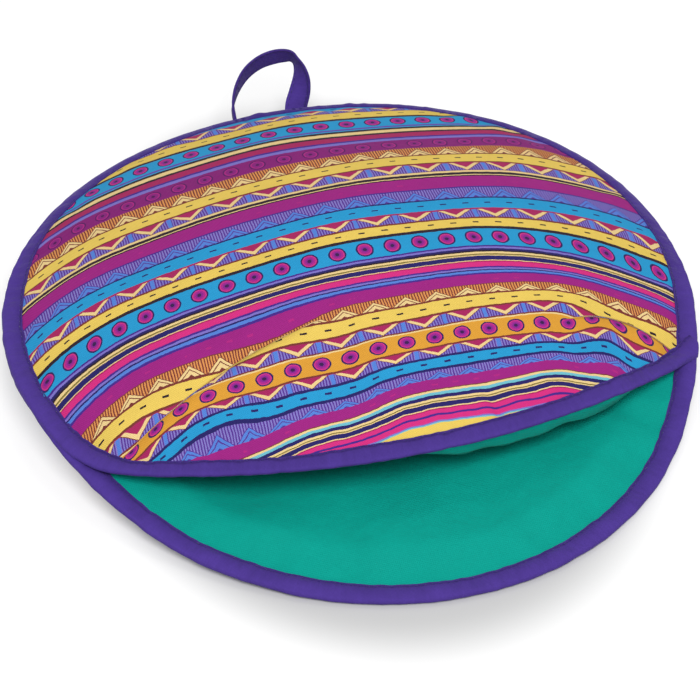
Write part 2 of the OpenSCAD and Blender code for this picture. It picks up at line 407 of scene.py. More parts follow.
def disc(stations, centre, shares, height):
    """Points and faces of a panel's face: rings of stations round a middle point."""
    n = len(stations)
    rings = []
    for share in shares:
        t = np.full(n, share)
        xy = centre + (stations[:, :2] - centre) * t[:, None]
        rings.append(np.concatenate([xy, height(stations, t, xy)[:, None]], 1))
    points = np.concatenate(rings)
    middle = len(points)
    points = np.vstack([points, [*centre, points[:n, 2].mean()]])
    faces = net(len(shares), n)
    faces += [(middle, i, (i + 1) % n) for i in range(n)]
    return points, faces


def outward(points, faces, up):
    """The faces, turned over if the first of them doesn't look the way that up says."""
    a, b, c = (np.asarray(points[i]) for i in faces[0][:3])
    return faces if (np.cross(b - a, c - a)[2] > 0) == up else [face[::-1] for face in faces]


def strip(sections):
    """Points and faces of a tube with closed ends, along sections of equal length."""
    rows, columns = len(sections), len(sections[0])
    faces = net(rows, columns)
    faces.append(tuple(range(columns)))
    faces.append(tuple((rows - 1) * columns + i for i in reversed(range(columns))))
    return np.concatenate(sections), faces


# ------------------------------------------------------------------ materials

def colour(code):
    """A colour from its sRGB hex code, in Blender's linear light."""
    parts = [int(code[i:i + 2], 16) / 255 for i in (0, 2, 4)]
    return tuple(c / 12.92 if c <= 0.04045 else ((c + 0.055) / 1.055) ** 2.4 for c in parts) + (1.0,)


SKY = colour("2b9fd6")
YELLOW = colour("f1d063")
ORANGE = colour("e4a33b")
MAGENTA = colour("a32785")
PURPLE = colour("8a2378")
CRIMSON = colour("ad2b62")
PINK = colour("dc3385")
CREAM = colour("f3d595")
VIOLET = colour("6a4fae")
PLUM = colour("5a3796")
HATCH = colour("8a80cc")
LILAC = colour("8377cc")
INDIGO = colour("4a2d8e")
NAVY = colour("2c2668")
BLUE = colour("5a86dc")
AQUA = colour("74c3d4")
BROWN = colour("7d3a35")
DARK = colour("30232e")
KHAKI = colour("8a7a3c")
RUST = colour("e59a58")


class Nodes:
    """A node tree, written as arithmetic on sockets and numbers."""

    def __init__(self, owner):
        owner.use_nodes = True
        self.tree = owner.node_tree

    def node(self, kind, inputs=None, **settings):
        """A new node; inputs are sockets or values, by the input's name or number."""
        made = self.tree.nodes.new(kind)
        for key, value in settings.items():
            setattr(made, key, value)
        self.fill(made, inputs or {})
        return made

    def fill(self, node, inputs):
        """Links sockets to a node's inputs and writes values into them."""
        for key, value in inputs.items():
            if isinstance(value, bpy.types.NodeSocket):
                self.tree.links.new(value, node.inputs[key])
            else:
                node.inputs[key].default_value = value

    def math(self, operation, *values):
        return self.node("ShaderNodeMath", dict(enumerate(values)), operation=operation).outputs[0]


class Cloth(Nodes):
    """A cloth material."""

    def __init__(self, name, roughness, sheen):
        self.material = bpy.data.materials.new(name)
        super().__init__(self.material)
        self.shader = self.tree.nodes["Principled BSDF"]
        self.fill(self.shader, {"Roughness": roughness, "Sheen Weight": sheen,
                                "Sheen Roughness": 0.45, "Specular IOR Level": 0.1})
        self.place = self.node("ShaderNodeTexCoord").outputs["Object"]

    def mix(self, under, over, share):
        return self.node("ShaderNodeMix", {0: share, 6: under, 7: over}, data_type="RGBA").outputs[2]

    def both(self, a, b):
        return self.math("MULTIPLY", a, b)

    def below(self, value, limit):
        return self.math("LESS_THAN", value, limit)

    def above(self, value, limit):
        return self.math("GREATER_THAN", value, limit)

    def uv(self, name):
        source = self.node("ShaderNodeUVMap", uv_map=name)
        parts = self.node("ShaderNodeSeparateXYZ", {0: source.outputs[0]})
        return parts.outputs[0], parts.outputs[1]

    def lumps(self, place, scale, detail):
        """Noise of 0..1 at a place, with so many lumps to its unit."""
        inputs = {"Scale": scale, "Detail": detail, "Vector": place}
        return self.node("ShaderNodeTexNoise", inputs).outputs["Fac"]

    def noise(self, size, detail=3.0):
        """Noise of 0..1 with lumps of the given size in mm."""
        return self.lumps(self.place, 1 / (size * MM), detail)

    def ridge(self, value, middle, reach):
        """1 where the value is at the middle, falling to 0 at a reach to both sides."""
        away = self.math("ABSOLUTE", self.math("SUBTRACT", value, middle))
        return self.math("MAXIMUM", self.math("MULTIPLY_ADD", away, -1 / reach, 1.0), 0.0)

    def ripples(self, pitch, direction):
        """Threads of 0..1 across a direction in the object's own space, at a pitch in mm."""
        turns = [c * 2 * math.pi / (pitch * MM) for c in direction]
        dot = self.node("ShaderNodeVectorMath", {0: self.place, 1: turns}, operation="DOT_PRODUCT")
        return self.math("MULTIPLY_ADD", self.math("SINE", dot.outputs["Value"]), 0.5, 0.5)

    def weave(self, pitch):
        """Height of a plain weave: two crossing rows of threads, over one another by turns."""
        warp = self.ripples(pitch, (1, 0.03, 0))
        weft = self.ripples(pitch, (-0.02, 0.8, 0.6))
        return self.math("MAXIMUM", self.both(warp, 0.9), weft)

    def twill(self, pitch):
        """Height of a twill: fine slanting ridges, broken by the crossing threads."""
        ridge = self.ripples(pitch, (0.72, 0.6, 0.35))
        cross = self.ripples(pitch * 0.9, (-0.55, 0.7, 0.45))
        return self.math("MULTIPLY_ADD", cross, 0.3, self.both(ridge, 0.7))

    def shade(self, base, low, high, fac):
        """The base colour, between a low and a high multiple of its own brightness."""
        level = self.math("MULTIPLY_ADD", fac, high - low, low)
        inputs = {0: base[:3] if isinstance(base, tuple) else base, "Scale": level}
        return self.node("ShaderNodeVectorMath", inputs, operation="SCALE").outputs[0]

    def shaken(self, value, size, depth):
        """The value, moved unevenly by up to half the depth to both sides."""
        start = self.math("SUBTRACT", value, depth / 2)
        return self.math("MULTIPLY_ADD", self.noise(size), depth, start)

    def finish(self, base, heights):
        """Joins the colour and the bumps, given as pairs of height and depth in mm."""
        normal = {}
        for height, depth in heights:
            inputs = {"Strength": 1.0, "Distance": depth * MM, "Height": height, **normal}
            normal = {"Normal": self.node("ShaderNodeBump", inputs).outputs[0]}
        self.fill(self.shader, {"Base Color": base, **normal})
        return self.material


# The print's motifs. Each takes the cloth, the distance across the print, the distance
# from its own band's back edge, the band's width, where a motif stands in its row, and
# its colours.

def from_centre(cloth, u, pitch, at):
    """Signed distance across to the nearest motif of a row."""
    return cloth.math("WRAP", cloth.math("SUBTRACT", u, at), pitch / 2, -pitch / 2)


def hatched(cloth, u, ground, lines, pitch, level):
    """Thin lines along the cloth; the lower the level, the broader they are."""
    ripple = cloth.math("SINE", cloth.both(u, 2 * math.pi / pitch))
    return cloth.mix(ground, lines, cloth.above(ripple, level))


def marks(cloth, u, down, at, pitch, half_l, half_w, middle):
    """1 on the short marks of a row; middle is how far down they lie."""
    x = cloth.math("ABSOLUTE", from_centre(cloth, u, pitch, at))
    y = cloth.math("ABSOLUTE", cloth.math("SUBTRACT", down, middle))
    return cloth.both(cloth.below(x, half_l), cloth.below(y, half_w))


DOT_PITCH = 12.6
DOT_FIELD = 5.3          # half of a band's width, on the scale of the spots' radii


def dots(cloth, u, down, width, at, ground, rings):
    """Round spots: rings is a list of radius and colour, from the outermost in."""
    x = from_centre(cloth, u, DOT_PITCH, at)
    y = cloth.math("MULTIPLY_ADD", down, 2 * DOT_FIELD / width, -DOT_FIELD)
    radius = cloth.math("SQRT", cloth.math("ADD", cloth.both(x, x), cloth.both(y, y)))
    base = ground
    for size, ring in rings:
        base = cloth.mix(base, ring, cloth.below(radius, size))
    return base


def dashes(cloth, u, down, width, at, ground, mark):
    """Short marks along the middle of a plain band."""
    inside = marks(cloth, u, down, at, pitch=10.7, half_l=1.45, half_w=0.4, middle=width * 0.47)
    return cloth.mix(ground, mark, inside)


def zigzag(cloth, u, down, width, at, ground, lines, mound):
    """Thick pale Vs, points towards the mouth, between hatched mounds."""
    pitch = 18.8
    reach = cloth.math("ABSOLUTE", from_centre(cloth, u, pitch, at))
    depth = cloth.math("DIVIDE", down, width)
    # the Vs' inner and outer edges: a share of the band's width, less to the sides
    upper = cloth.math("MULTIPLY_ADD", reach, -0.62 / 5.6, 0.64)
    lower = cloth.math("MULTIPLY_ADD", reach, -0.98 / 8.0, 0.99)
    outline = cloth.math("ADD", lower, 0.06)
    base = hatched(cloth, u, ground, lines, pitch=1.25, level=0.0)
    base = cloth.mix(base, mound, cloth.above(reach, pitch / 2 - 0.95))
    base = cloth.mix(base, BROWN, cloth.below(depth, outline))
    base = cloth.mix(base, CREAM, cloth.below(depth, lower))
    base = cloth.mix(base, CRIMSON, cloth.below(depth, upper))
    return cloth.mix(base, CRIMSON, cloth.below(depth, 0.05))


PEAK_FIELD = 8.0         # a band's width, on the scale of the peaks' own sizes
PEAK_SLOPE = 1.02
PEAK_TOP = 1.2           # the peaks begin this far down


def chevrons(cloth, u, down, width, at, ground, lines, peak):
    """A band hatched across, with pointed peaks standing on its front edge."""
    base = hatched(cloth, u, ground, lines, pitch=1.28, level=-0.1)
    reach = cloth.math("ABSOLUTE", from_centre(cloth, u, 14.1, at))
    y = cloth.both(down, PEAK_FIELD / width)
    inside = cloth.math("MULTIPLY_ADD", reach, -PEAK_SLOPE, cloth.math("SUBTRACT", y, PEAK_TOP))
    for start, tone in ((0.0, ground), (0.5, peak), (2.1, ground), (2.8, peak), (5.4, ground)):
        base = cloth.mix(base, tone, cloth.above(inside, start))
    return base


def flecked(cloth, u, down, width, at, ground, mark):
    """A plain band with a few faint, uneven marks."""
    inside = marks(cloth, u, down, at, pitch=9.4, half_l=1.3, half_w=0.35, middle=width * 0.55)
    worn = cloth.both(cloth.above(cloth.noise(12.0), 0.52), 0.3)
    return cloth.mix(ground, mark, cloth.both(inside, worn))


SPOTS = [(4.0, colour("35245f")), (3.25, colour("d6388c")), (2.7, colour("ae2b90")),
         (1.75, colour("8c2a93")), (0.95, colour("3d2254"))]
FAINT_SPOTS = [(3.9, colour("5c1a63")), (3.2, colour("b32c86")), (2.5, colour("8f2580")),
               (0.9, colour("541858"))]

# Ground, hatch and motif of the two kinds of pointed row
COOL = (PLUM, HATCH, BLUE)
WARM = (BROWN, RUST, CREAM)

# The print's bands from the back to the mouth: width in mm, and a plain colour or a
# motif with where it stands across and its colours
PRINT_START = -148.0
BANDS = [
    (7.6, chevrons, 0.0, *COOL), (0.8, NAVY), (6.7, dashes, 4.0, SKY, NAVY),
    (7.0, zigzag, -6.0, *COOL), (0.7, BROWN), (8.2, dashes, 1.5, YELLOW, DARK),
    (2.1, DARK), (10.9, dots, -0.3, SKY, SPOTS), (1.6, VIOLET), (1.0, SKY), (1.9, DARK),
    (3.1, CREAM), (1.7, DARK), (4.6, CRIMSON), (1.4, INDIGO), (2.4, LILAC),
    (10.6, dots, -0.3, PURPLE, FAINT_SPOTS),
    (8.0, chevrons, -7.4, *WARM), (0.9, BROWN), (7.4, dashes, 1.8, YELLOW, DARK),
    (0.9, BROWN), (6.9, zigzag, -8.0, *COOL), (0.3, BROWN), (1.5, CREAM), (1.9, DARK),
    (0.6, CREAM), (0.8, DARK), (8.2, flecked, 3.0, MAGENTA, PINK), (0.8, INDIGO),
    (7.4, chevrons, -6.3, *COOL), (0.9, NAVY), (7.2, dashes, 4.0, SKY, NAVY),
    (0.7, CRIMSON), (5.9, zigzag, -5.8, *COOL), (1.0, BROWN),
    (5.6, dashes, 4.5, YELLOW, DARK), (1.8, DARK), (11.1, dots, 3.2, SKY, SPOTS),
    (0.9, INDIGO), (1.1, LILAC), (1.1, NAVY), (0.9, DARK), (1.1, CREAM), (0.8, KHAKI),
    (0.5, CREAM), (2.4, NAVY), (0.4, CREAM), (0.6, CRIMSON), (2.6, PINK), (0.8, INDIGO),
    (0.9, LILAC), (0.6, NAVY), (1.2, BLUE), (0.9, INDIGO), (5.4, flecked, 0.0, MAGENTA, PINK),
    (0.3, BROWN), (4.9, chevrons, -1.0, *WARM), (0.9, BROWN),
    (6.1, dashes, -2.2, YELLOW, DARK), (0.9, BROWN), (5.2, zigzag, -1.2, *COOL),
    (0.7, BROWN), (0.7, CREAM), (8.4, dots, -5.0, ORANGE, SPOTS), (0.7, BROWN),
    (3.9, zigzag, 0.7, *COOL), (1.0, NAVY), (3.9, dashes, 1.3, SKY, NAVY), (1.1, NAVY),
    (3.5, chevrons, 3.5, *COOL), (4.3, flecked, 5.0, MAGENTA, PINK), (0.4, BROWN),
    (0.9, CREAM), (1.2, AQUA), (1.5, NAVY), (0.9, CREAM), (0.5, KHAKI), (0.4, CREAM),
    (2.0, NAVY), (0.5, CREAM), (0.5, CRIMSON), (1.8, PINK), (0.9, INDIGO), (2.2, PINK),
    (0.6, LILAC), (0.5, AQUA), (5.0, YELLOW),
]


TWILL = 0.75             # pitch of the printed cloth's ridges
WEAVE_DEPTH = 0.12       # depth of all the cloths' threads
DART_EDGE_W = 0.8        # a dart's fold covers the print over this width ...
DART_SHADOW = (0.3, 1.1)           # ... and shades it: this far in front, with this reach


def printed_cloth(name, darts):
    """The printed cover cloth; darts is true where its folds hide part of the print."""
    cloth = Cloth(name, roughness=0.75, sheen=0.03)
    u, v = cloth.uv("print")
    if darts:
        ahead, take = cloth.uv("dart")
        over = cloth.math("MULTIPLY_ADD", ahead, 1.0 / DART_EDGE_W, 0.5)
        hidden = cloth.node("ShaderNodeClamp", {"Value": over})
        v = cloth.math("MULTIPLY_ADD", take, hidden.outputs[0], v)
    # the print's outlines are drawn by hand
    v = cloth.shaken(v, size=3.5, depth=0.7)
    u = cloth.shaken(u, size=4.5, depth=1.0)
    edge = PRINT_START
    base = None
    for width, kind, *rest in BANDS:
        if callable(kind):
            down = cloth.math("SUBTRACT", v, edge)
            band = kind(cloth, u, down, width, *rest)
        else:
            band = kind
        base = band if base is None else cloth.mix(base, band, cloth.above(v, edge))
        edge += width
    if darts:
        # the fold's edge lies in its own shadow
        shadow = cloth.both(cloth.ridge(ahead, *DART_SHADOW), cloth.both(take, 1 / DEEPEST_TAKE))
        base = cloth.shade(base, 1.0, 0.45, shadow)
    base = cloth.shade(base, 0.92, 1.04, cloth.noise(18.0))
    base = cloth.shade(base, 0.95, 1.03, cloth.noise(1.6, 2.0))
    base = cloth.shade(base, 0.86, 1.05, cloth.twill(TWILL))
    return cloth.finish(base, [(cloth.noise(9.0), 0.6), (cloth.twill(TWILL), WEAVE_DEPTH)])


def plain_cloth(name, code, roughness, sheen, pitch, worn, puckers):
    """A plain-dyed cloth with a visible weave and soft unevenness."""
    cloth = Cloth(name, roughness, sheen)
    base = cloth.shade(colour(code), 1 - worn, 1 + worn, cloth.noise(14.0))
    base = cloth.shade(base, 1 - worn / 2, 1 + worn / 2, cloth.noise(2.5, 2.0))
    base = cloth.shade(base, 0.88, 1.05, cloth.weave(pitch))
    return cloth.finish(base, [(cloth.noise(7.0), puckers), (cloth.weave(pitch), WEAVE_DEPTH)])


SEAM_AROUND = 1.6        # the row of stitches lies this far round from the tape's inner edge
# width of the painted shade along the row of stitches
SEAM_PAINTED_SHADE_W = 0.9
FOLD_AROUND = 8.0        # and its outer fold this far: it is painted paler there, a painted highlight
TAPE_WEAVE = 0.55        # pitch of its threads
TAPE_CREASE = 2.6        # size of the creases that run across it


def bound_tape(name, code):
    """Binding tape: a weave, short creases across it with painted light and shade, darker at its seam as
    painted shade, paler at its fold as a painted highlight.
    """
    cloth = Cloth(name, 0.7, 0.05)
    along, around = cloth.uv("tape")
    # the creases run across the tape: they are stretched in that direction
    place = cloth.node("ShaderNodeCombineXYZ", {0: along, 1: cloth.both(around, 0.3)})
    creases = cloth.lumps(place.outputs[0], 1 / TAPE_CREASE, 2.5)
    drawn = cloth.math("SMOOTH_MAX", creases, 0.42, 0.1)
    base = cloth.shade(colour(code), 0.84, 1.12, cloth.noise(13.0))
    # the creases' ridges are painted lighter and their hollows darker: painted light and shade
    base = cloth.shade(base, 0.86, 1.16, creases)
    # painted shade at the inner edge, growing to a painted highlight at the outer fold and on past it
    painted_fold_highlight = cloth.math("MINIMUM", cloth.both(around, 1 / FOLD_AROUND), 1.0)
    base = cloth.shade(base, 0.84, 1.14, painted_fold_highlight)
    # painted shade along the dip of the row of stitches
    base = cloth.shade(base, 1.0, 0.66, cloth.ridge(around, SEAM_AROUND, SEAM_PAINTED_SHADE_W))
    base = cloth.shade(base, 0.88, 1.05, cloth.weave(TAPE_WEAVE))
    threads = (cloth.weave(TAPE_WEAVE), WEAVE_DEPTH)
    return cloth.finish(base, [(drawn, 0.9), (cloth.noise(7.0), 0.4), threads])


def fibre(name, code):
    """Loose wadding."""
    cloth = Cloth(name, 0.95, 0.3)
    base = cloth.shade(colour(code), 0.9, 1.0, cloth.noise(3.0, 6.0))
    return cloth.finish(base, [(cloth.noise(2.0, 6.0), 0.6)])


def twisted_thread(name, code):
    """Sewing thread, with its twist as fine slanting ridges."""
    cloth = Cloth(name, 0.6, 0.2)
    twist = cloth.ripples(0.45, (0.7, 0.7, 0.2))
    base = cloth.shade(colour(code), 0.85, 1.08, twist)
    return cloth.finish(base, [(twist, 0.08)])


COVER_PRINT = printed_cloth("cover_print", darts=True)
BASE_PRINT = printed_cloth("base_print", darts=False)
LINING = plain_cloth("lining_cloth", "009f90", 0.7, 0.04, 0.8, worn=0.07, puckers=0.7)
TAPE = bound_tape("tape_cloth", "4b358c")
WADDING = fibre("wadding_fibre", "eeece6")
THREAD = twisted_thread("seam_thread", "3a2a78")


# --------------------------------------------------------------------- panels

LIP_SPOKES = 170
SEAM_SPOKES = 300
lip_shares = np.linspace(-1, 1, LIP_SPOKES)
seam_turns = np.linspace(MOUTH_HALF, 360 - MOUTH_HALF, SEAM_SPOKES)
CORNER_ROUNDS = 110      # the upper panel is rounded off at its left corner this many times
CORNER_RUN = 46.0        # over this length to both sides


def rounded(stations):
    """The edge with its first station, the left corner, smoothed away."""
    away = np.hypot(*(stations[:, :2] - stations[0, :2]).T)
    share = (0.5 * ramp(away, CORNER_RUN, CORNER_RUN / 2))[:, None]
    made = stations.copy()
    for _ in range(CORNER_ROUNDS):
        made += share * ((np.roll(made, 1, 0) + np.roll(made, -1, 0)) / 2 - made)
    return made


TOP_STATIONS = rounded(np.concatenate([lip_station(lip_shares), seam_station(seam_turns[1:-1])]))
BASE_TURNS = np.linspace(-180, 180, LIP_SPOKES + SEAM_SPOKES, endpoint=False)
BASE_STATIONS = base_station(BASE_TURNS)
DOME_SHARES = np.concatenate([np.linspace(0.02, 0.86, 62), np.linspace(0.87, 1.0, 16)])
BASE_SHARES = np.concatenate([np.linspace(0.05, 0.6, 24), np.linspace(0.62, 1.0, 40)])

PUCKER_W = 15.0          # the cloth is gathered over this width inside the binding
PUCKER = 0.45
PUCKERS = 46             # ripples in a turn
SLACK = 0.5              # soft lumps over the whole of a panel
LINING_SLACK = 0.6
TUCK = 1.1               # deeper folds of the base's lining at its bound edge ...
TUCKS = 26               # ... so many in a turn ...
TUCK_RUN = 18.0          # ... and running out over this length


def gathers(st, t, centre, seed):
    """Small folds that run inwards from the binding, where the cloth is eased into it."""
    inwards = from_binding(st, t, centre)
    near = ramp(inwards, PUCKER_W, 0) * ramp(inwards, -3, 2)
    return PUCKER * near * wobble(turn_of(st, centre), PUCKERS, seed)


CREASE_AT = (39.5, -86.0)
CREASE_SLANT = 0.25
CREASE_HALF_W, CREASE_HALF_L = 2.4, 9.0
CREASE_DEPTH = 1.3


def lip_crease(x, y):
    """A short crease that runs in from the upper lip, to the right of its middle."""
    along = y - CREASE_AT[1]
    across = x - CREASE_AT[0] + CREASE_SLANT * along
    return CREASE_DEPTH * bell(across / CREASE_HALF_W, along / CREASE_HALF_L)


def cover_detail(st, t, xy):
    x, y = xy[:, 0], xy[:, 1]
    inwards = from_binding(st, t, CROWN)
    dents = sum(dart.dent(x, y) for dart in DARTS) * ramp(inwards, -2, 4)
    lumps = SLACK * waves(x, y, 75.0, seed=5) * ramp(inwards, 0, 12)
    return lumps + gathers(st, t, CROWN, 3) - dents - lip_crease(x, y)


def cover_height(st, t, xy):
    return dome_z(st, t) + cover_detail(st, t, xy)


def top_under_height(st, t):
    """The lower face of the top panel, without its lining's slack."""
    return dome_z(st, t) - panel_t(st, t, CROWN)


# The lining hangs out below the lip's binding on the right of the mouth
PUFF_FROM, PUFF_FULL, PUFF_END, PUFF_TO = -8.0, 30.0, 84.0, 118.0
PUFF_H = 8.5
PUFF_LINE = -58.0        # y behind which no part of it lies
PUFF_IN = 34.0           # it runs out this far in from the edge
PUFF_FOLDS = ((0.10, 6.5, 0.0), (0.06, 3.1, 1.0))     # depth, length and start of its ripples


def puff(x):
    folds = 1 + sum(depth * np.sin(x / length + start) for depth, length, start in PUFF_FOLDS)
    return PUFF_H * ramp(x, PUFF_FROM, PUFF_FULL) * ramp(x, PUFF_TO, PUFF_END) * folds


def lining_height(st, t, xy):
    edge_in = (1 - t) * spoke(st, CROWN)
    at_lip = st[:, 1] < PUFF_LINE
    hang = np.where(at_lip, puff(st[:, 0]), 0.0) * ramp(edge_in, 0, 1.2) * ramp(edge_in, PUFF_IN, 0)
    slack = LINING_SLACK * waves(xy[:, 0], xy[:, 1], 45.0, seed=9) * ramp(edge_in, 0, 20)
    return top_under_height(st, t) - hang + slack


LINING_SHARES = np.concatenate([np.linspace(0.05, 0.84, 34), np.linspace(0.85, 0.98, 14),
                                [0.984, 0.988, 0.992, 0.996, 1.0]])

PAD_TO = 0.86            # share of the spokes up to which the wadding is thick enough to model
PAD_FROM, PAD_UP = 0.22, 0.48     # its faces, as shares of the panel's thickness


def batting(name, stations, centre, floor, roof):
    """A panel's wadding: a closed pad, at shares of the way from the floor to the roof."""
    shares = np.linspace(0.06, PAD_TO, 18)
    every = stations[::3]
    low, top = (disc(every, centre, shares, lambda st, t, xy: mix(floor(st, t), roof(st, t), up))
                for up in (PAD_FROM, PAD_UP))
    faces = outward(*top, True)
    n, ring = len(top[0]), (len(shares) - 1) * len(every)
    under = [tuple(i + n for i in reversed(face)) for face in faces]
    wall = [(ring + i, ring + (i + 1) % len(every), ring + (i + 1) % len(every) + n, ring + i + n)
            for i in range(len(every))]
    return add_piece(name, np.vstack([top[0], low[0]]), faces + under + wall, WADDING)


def dart_layer(points):
    """For each point, the distance in front of its dart and the cloth hidden there."""
    x, y = points[:, 0], points[:, 1]
    left, right = DARTS
    near = x < 20
    ahead = np.where(near, left.in_front(x, y), right.in_front(x, y))
    take = np.where(near, left.hides(x), right.hides(x))
    return np.stack([ahead, take], 1)


def print_layer(points):
    x, y = points[:, 0], points[:, 1]
    return np.stack([print_across(x), print_along(x, y)], 1)


def sheet(name, disc_of, up, material, thickness, maps=()):
    """A layer of a panel; maps are its UV maps, by name, each worked out from the points."""
    points, faces = disc(*disc_of)
    layers = {key: values(points) for key, values in maps}
    piece = add_piece(name, points, outward(points, faces, up), material, layers)
    thicken(piece, thickness)
    return piece


def make_top_cover():
    return sheet("top_panel_cover", (TOP_STATIONS, CROWN, DOME_SHARES, cover_height), True,
                 COVER_PRINT, COVER_T, (("print", print_layer), ("dart", dart_layer)))


def make_top_lining():
    return sheet("top_panel_lining", (TOP_STATIONS, CROWN, LINING_SHARES, lining_height), False,
                 LINING, LINING_T)


def make_top_batting():
    return batting("top_batting", TOP_STATIONS, CROWN, top_under_height, dome_z)


BASE_PUCKER = 0.25       # share of the top cover's puckers
BASE_RAISED = 0.25       # keeps them off the table


def base_cover_height(st, t, xy):
    lifted = ramp(t, BASE_FLAT, BASE_FLAT + 0.15)
    return base_z(st, t) + lifted * (BASE_PUCKER * gathers(st, t, ORIGIN, 21) + BASE_RAISED)


def base_inner_height(st, t):
    return base_z(st, t) + panel_t(st, t, ORIGIN)


def base_lining_height(st, t, xy):
    inwards = from_binding(st, t, ORIGIN)
    slack = LINING_SLACK * waves(xy[:, 0], xy[:, 1], 38.0, seed=14) * ramp(inwards, 0, 10)
    near = ramp(inwards, 0.5, 8.5) * np.exp(-np.maximum(inwards, 0) / TUCK_RUN)
    tucks = TUCK * near * np.maximum(0.0, wobble(turn_of(xy, ORIGIN), TUCKS, 23)) ** 1.5
    return base_inner_height(st, t) + slack + 0.5 * gathers(st, t, ORIGIN, 22) - tucks


def make_base_cover():
    return sheet("base_panel_cover", (BASE_STATIONS, ORIGIN, BASE_SHARES, base_cover_height), False,
                 BASE_PRINT, COVER_T, (("print", print_layer),))


def make_base_lining():
    return sheet("base_panel_lining", (BASE_STATIONS, ORIGIN, BASE_SHARES, base_lining_height), True,
                 LINING, LINING_T)


def make_base_batting():
    return batting("base_batting", BASE_STATIONS, ORIGIN, base_z, base_inner_height)


# ------------------------------------------------------------------- bindings

class Face:
    """The height of a panel's face at any point, from the spoke through it."""

    def __init__(self, stations, centre, height):
        self.turn = turn_of(stations, centre)
        self.stations, self.centre, self.height = stations, centre, height

    def at(self, xy):
        turn = turn_of(xy, self.centre)
        order = np.argsort(self.turn)
        st = np.stack([np.interp(turn, self.turn[order], column[order], period=360)
                       for column in self.stations.T], 1)
        return self.height(st, np.minimum(1.0, spoke(xy, self.centre) / spoke(st, self.centre)))


TOP_FACE = Face(TOP_STATIONS, CROWN, dome_z)
TOP_UNDER = Face(TOP_STATIONS, CROWN, top_under_height)
BASE_INNER = Face(BASE_STATIONS, ORIGIN, base_inner_height)
BASE_UNDER = Face(BASE_STATIONS, ORIGIN, base_z)

# The tape's outline from its inner edge out: distance from the panel's edge, measured
# along the cloth, and rise over the panel's face. The dip is the row of stitches.
STITCH_IN = 7.45
TAPE_FACE = [(8.75, 0.0), (8.68, 0.45), (8.3, 0.68), (7.85, 0.5), (STITCH_IN, 0.34), (7.0, 0.52),
             (6.0, 0.88), (4.8, 1.05), (3.4, 1.05), (2.0, 0.95), (0.8, 0.8)]
NOSE_STEPS = 7
NOSE_OUT = 0.8           # how far the tape stands out past the panel's edge
TAPE_PUCKER = 0.36
CREASE_L, FINE_CREASE_L = 17.0, 6.5
SCALLOP = 0.22           # the tape's inner edge wanders by this much
SCALLOP_L = 7.5
SLOPE_AT = (0.6, 6.6)    # the panel's slope under the tape is taken between these insets


def inward(path):
    """Unit vectors across an open path, to its left-hand side."""
    step = np.gradient(path, axis=0)
    step /= np.hypot(*step.T)[:, None]
    return np.stack([-step[:, 1], step[:, 0]], 1)


def tape_sections(path, over, under, seed, rise, breadth=1.0):
    """Points round the tape at each point of its path, shape (path, points, 3).

    The rise lifts it off the panel, and the breadth is a share of its full width.
    """
    across = inward(path)
    run = np.concatenate([[0], np.cumsum(np.hypot(*np.diff(path, axis=0).T))])
    crease = waves(run, 0 * run, CREASE_L, seed) + 0.8 * waves(run, 0 * run, FINE_CREASE_L, seed + 1)
    wander = SCALLOP * waves(run, 0 * run, SCALLOP_L, seed + 2)
    columns = {}
    for side, face in ((1, over), (-1, under)):
        near, far = (face.at(path + across * inset) for inset in SLOPE_AT)
        slope = (far - near) / (SLOPE_AT[1] - SLOPE_AT[0])
        share = 1 / np.sqrt(1 + slope ** 2)
        for inset, height in TAPE_FACE:
            reach = (inset + wander * ramp(inset, 5, 8)) * share * breadth
            xy = path + across * reach[:, None]
            pucker = TAPE_PUCKER * crease * ramp(height, 0, 0.5) * ramp(inset, 0, 4)
            loose = height * (1 + pucker) + rise
            z = face.at(xy) + side * loose * share
            xy = xy - side * across * (slope * loose * share)[:, None]
            columns[side, inset] = np.concatenate([xy, z[:, None]], 1)
    last = TAPE_FACE[-1][0]
    top, low = columns[1, last], columns[-1, last]
    middle, half = (top + low) / 2, (top - low) / 2
    out = np.concatenate([-across, np.zeros((len(path), 1))], 1)
    reach = last + NOSE_OUT + 0.15 * crease + 0.4 * wander + np.minimum(rise, 0)
    nose = []
    for step in range(NOSE_STEPS):
        angle = math.pi * (step + 0.5) / NOSE_STEPS
        nose.append(middle + half * math.cos(angle) + out * (reach * math.sin(angle) ** 0.8)[:, None])
    upper = [columns[1, inset] for inset, _ in TAPE_FACE]
    lower = [columns[-1, inset] for inset, _ in reversed(TAPE_FACE)]
    return np.stack(upper + nose + lower, 1)


def tape_layer(sections):
    """For each point, the way along the tape and from its upper inner edge round it, in mm."""
    along = np.cumsum(np.linalg.norm(np.diff(sections[:, 0], axis=0, prepend=sections[:1, 0]), axis=1))
    steps = np.linalg.norm(np.diff(sections, axis=1, prepend=sections[:, :1]), axis=2)
    around = np.cumsum(steps, axis=1)
    return np.stack([np.broadcast_to(along[:, None], around.shape), around], 2).reshape(-1, 2)


def make_tape(name, sections):
    points, faces = strip(sections)
    piece = add_piece(name, points, faces, TAPE, {"tape": tape_layer(sections)})
    smooth_more = piece.modifiers.new("Soften", "SUBSURF")
    smooth_more.levels = smooth_more.render_levels = 1
    return piece


# The mouth's tape starts on the rim, behind the rounded left corner, where it dives
# under the rim's tape. At its right end it lies over the rim's tape and folds round it.
LEFT_LAP = 24            # stations
RIM_LAP = 17
RIGHT_LAP = 5.5          # millimetres
LAP_STEP = 0.7
LAP_RISE = 1.0
CURLED_UNDER = 0.23      # share of its width that the mouth's tape turns under
CURLED_MORE = 0.12       # and what is added to it on the left
CURLED_MORE_RAMP = (-15.0, -60.0)  # x from which to which that grows
CURL_LEFT_RAMP = (-138.0, -113.0)  # x from which to which it turns under, from its left end ...
CURL_RIGHT_RAMP = (134.0, 122.0)   # ... and from its right end
DIVE, DIVE_RUN = 0.35, 7.0         # mm, and stations
FLAT_ON_TABLE = 0.06


